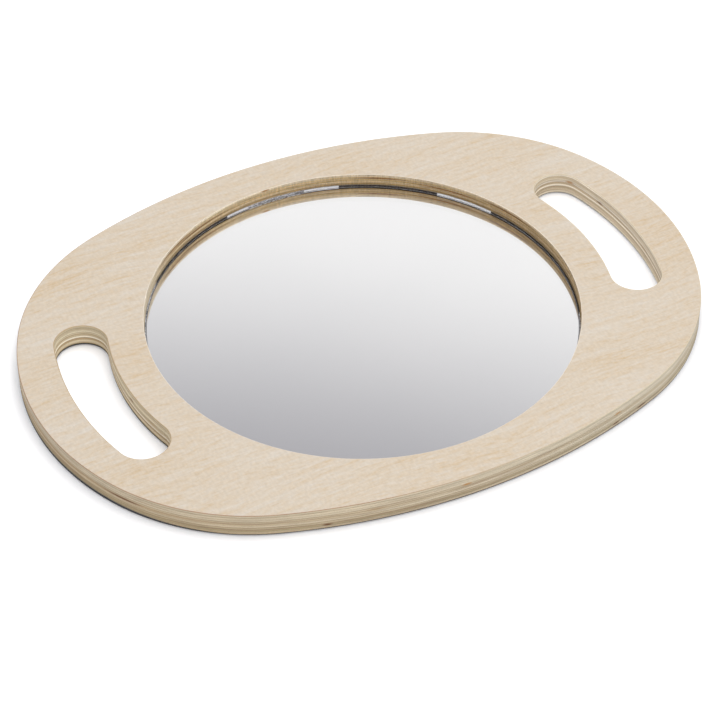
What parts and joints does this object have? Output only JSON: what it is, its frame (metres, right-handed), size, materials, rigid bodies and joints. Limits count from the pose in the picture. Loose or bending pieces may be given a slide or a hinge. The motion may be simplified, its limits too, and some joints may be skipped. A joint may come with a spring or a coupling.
{
  "type": "hand mirror",
  "caption": "Oval plywood hand mirror with a round glass set into a well in its middle and a curved finger slot through each end as a handle.",
  "frame": {"origin": "centre of the back face, which is also the axis of the round opening", "axes": "+X from the middle towards one handle slot, +Y across the oval, +Z out of the back face towards the viewer of the mirror"},
  "size_m": [0.4, 0.3, 0.014],
  "materials": {
    "front_veneer": "bare sanded birch",
    "back_veneer": "bare sanded birch",
    "cross_veneer": "bare sanded birch",
    "pale_cross_veneer": "bare sanded birch",
    "long_veneer": "bare sanded birch",
    "glass": "clear float glass, ground edge",
    "silver": "silvered",
    "paint": "matt protective paint",
    "tape": "foam tape"
  },
  "bodies": {
    "root": {"ply_1_front_veneer": "front_veneer", "ply_2_cross": "cross_veneer", "ply_3_long": "long_veneer", "ply_4_cross": "pale_cross_veneer", "ply_5_core": "long_veneer", "ply_6_cross": "pale_cross_veneer", "ply_7_long": "long_veneer", "ply_8_cross": "cross_veneer", "ply_9_back_veneer": "back_veneer", "tape_strip_1": "tape", "tape_strip_2": "tape", "tape_strip_3": "tape", "tape_strip_4": "tape", "mirror_backing_paint": "paint", "mirror_silver": "silver", "mirror_glass": "glass"}
  },
  "joints": []
}
